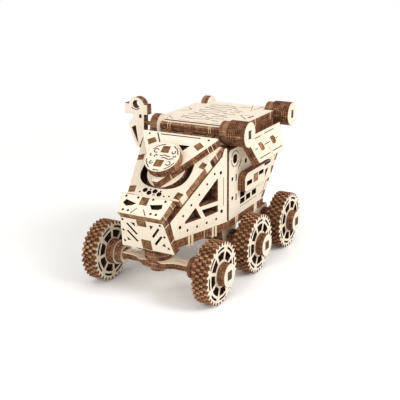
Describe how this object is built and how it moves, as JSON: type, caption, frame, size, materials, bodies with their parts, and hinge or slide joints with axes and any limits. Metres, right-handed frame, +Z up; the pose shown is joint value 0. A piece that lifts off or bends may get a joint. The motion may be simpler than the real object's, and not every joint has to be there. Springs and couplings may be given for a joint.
{
  "type": "model rover",
  "caption": "Laser-cut plywood model rover with a boxy cabin, lifting hatch, tilting mast, side wings, swivelling front beam and free-rolling wheels.",
  "frame": {"origin": "centre of the bounding box's bottom face, on the ground", "axes": "+Z up, -Y towards the nose, +X towards the side with the two drums"},
  "size_m": [0.1148, 0.1676, 0.128],
  "materials": {
    "plywood": "bare laser-cut birch plywood with scorched edges",
    "wheel_plywood": "bare laser-cut birch plywood with scorched toothed rims"
  },
  "bodies": {
    "rover": {"floor_plate": "plywood", "left_front_wall": "plywood", "right_front_wall": "plywood", "left_rear_wall": "plywood", "right_rear_wall": "plywood", "left_side_pod": "plywood", "right_side_pod": "plywood", "bulkhead": "plywood", "rear_lower_plate": "plywood", "rear_upper_plate": "plywood", "roof_plate": "plywood", "roof_front_rail": "plywood", "left_front_disc": "plywood", "right_front_disc": "plywood", "left_rear_disc": "plywood", "right_rear_disc": "plywood", "rear_drum": "plywood", "left_wing": "plywood", "right_wing": "plywood", "left_wing_ribs": "plywood", "right_wing_ribs": "plywood", "left_roof_rail": "plywood", "right_roof_rail": "plywood", "front_slope_plate": "plywood", "hood_plate": "plywood", "nose_plate": "plywood", "mast_pin": "plywood", "pivot_block": "plywood", "pivot_pin": "plywood", "middle_axle": "plywood", "middle_brackets": "plywood", "middle_caps": "plywood", "rear_axle": "plywood", "rear_brackets": "plywood", "rear_caps": "plywood"},
    "steering_beam": {"front_beam": "plywood", "pivot_washer": "plywood", "front_caps": "plywood"},
    "hatch": {"hatch_plate": "plywood", "hatch_disc": "plywood", "hatch_plug": "plywood", "hatch_bar": "plywood", "hatch_arms": "plywood", "front_drum": "plywood"},
    "mast": {"mast_plate": "plywood"},
    "front_right_wheel_body": {"front_right_wheel": "wheel_plywood"},
    "middle_right_wheel_body": {"middle_right_wheel": "wheel_plywood"},
    "rear_right_wheel_body": {"rear_right_wheel": "wheel_plywood"},
    "front_left_wheel_body": {"front_left_wheel": "wheel_plywood"},
    "middle_left_wheel_body": {"middle_left_wheel": "wheel_plywood"},
    "rear_left_wheel_body": {"rear_left_wheel": "wheel_plywood"}
  },
  "joints": [
    {"name": "steer", "type": "hinge", "parent": "rover", "child": "steering_beam", "pos_m": [0, -0.05985, 0.0255], "axis": [0, 0, 1], "range_deg": [-15, 15]},
    {"name": "hatch_lift", "type": "hinge", "parent": "rover", "child": "hatch", "pos_m": [0, -0.00835, 0.1085], "axis": [-1, 0, 0], "range_deg": [0, 75]},
    {"name": "mast_tilt", "type": "hinge", "parent": "rover", "child": "mast", "pos_m": [-0.045, -0.00835, 0.1085], "axis": [-1, 0, 0], "range_deg": [-5, 30]},
    {"name": "front_right_spin", "type": "hinge", "parent": "steering_beam", "child": "front_right_wheel_body", "pos_m": [0.0454, -0.06035, 0.0225], "axis": [1, 0, 0], "continuous": true},
    {"name": "middle_right_spin", "type": "hinge", "parent": "rover", "child": "middle_right_wheel_body", "pos_m": [0.0454, 0.00225, 0.0225], "axis": [1, 0, 0], "continuous": true},
    {"name": "rear_right_spin", "type": "hinge", "parent": "rover", "child": "rear_right_wheel_body", "pos_m": [0.0454, 0.06135, 0.0225], "axis": [1, 0, 0], "continuous": true},
    {"name": "front_left_spin", "type": "hinge", "parent": "steering_beam", "child": "front_left_wheel_body", "pos_m": [-0.0454, -0.06035, 0.0225], "axis": [1, 0, 0], "continuous": true},
    {"name": "middle_left_spin", "type": "hinge", "parent": "rover", "child": "middle_left_wheel_body", "pos_m": [-0.0454, 0.00225, 0.0225], "axis": [1, 0, 0], "continuous": true},
    {"name": "rear_left_spin", "type": "hinge", "parent": "rover", "child": "rear_left_wheel_body", "pos_m": [-0.0454, 0.06135, 0.0225], "axis": [1, 0, 0], "continuous": true}
  ]
}
